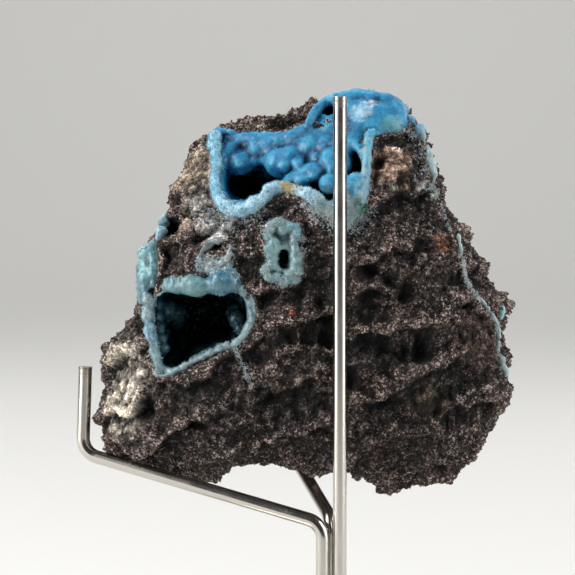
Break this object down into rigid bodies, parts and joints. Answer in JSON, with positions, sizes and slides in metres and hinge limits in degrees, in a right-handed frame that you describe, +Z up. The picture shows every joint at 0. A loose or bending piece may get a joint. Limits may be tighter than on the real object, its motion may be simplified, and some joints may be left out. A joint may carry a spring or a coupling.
{
  "type": "hemimorphite specimen",
  "caption": "Brown matrix rock with hollows lined by blue botryoidal hemimorphite crust, resting on a display stand of bent steel rod with a round foot.",
  "frame": {"origin": "middle of the stand's underside, on the surface it stands on", "axes": "+Z up, +X to the right of the face with the open hollows, -Y out of that face towards the viewer"},
  "size_m": [0.0976, 0.09, 0.1333],
  "materials": {
    "matrix_rock": "rough broken rock",
    "azure_crust": "botryoidal, glassy to waxy",
    "teal_crust": "botryoidal, waxy",
    "pale_crust": "finely crystalline",
    "steel_rod": "drawn, satin",
    "steel_foot": "turned, satin"
  },
  "bodies": {
    "root": {"matrix": "matrix_rock", "upper_crust": "azure_crust", "lower_crust": "teal_crust", "pocket_crust": "pale_crust", "edge_crust": "pale_crust", "post": "steel_rod", "left_arm": "steel_rod", "back_arm": "steel_rod", "base": "steel_foot"}
  },
  "joints": []
}
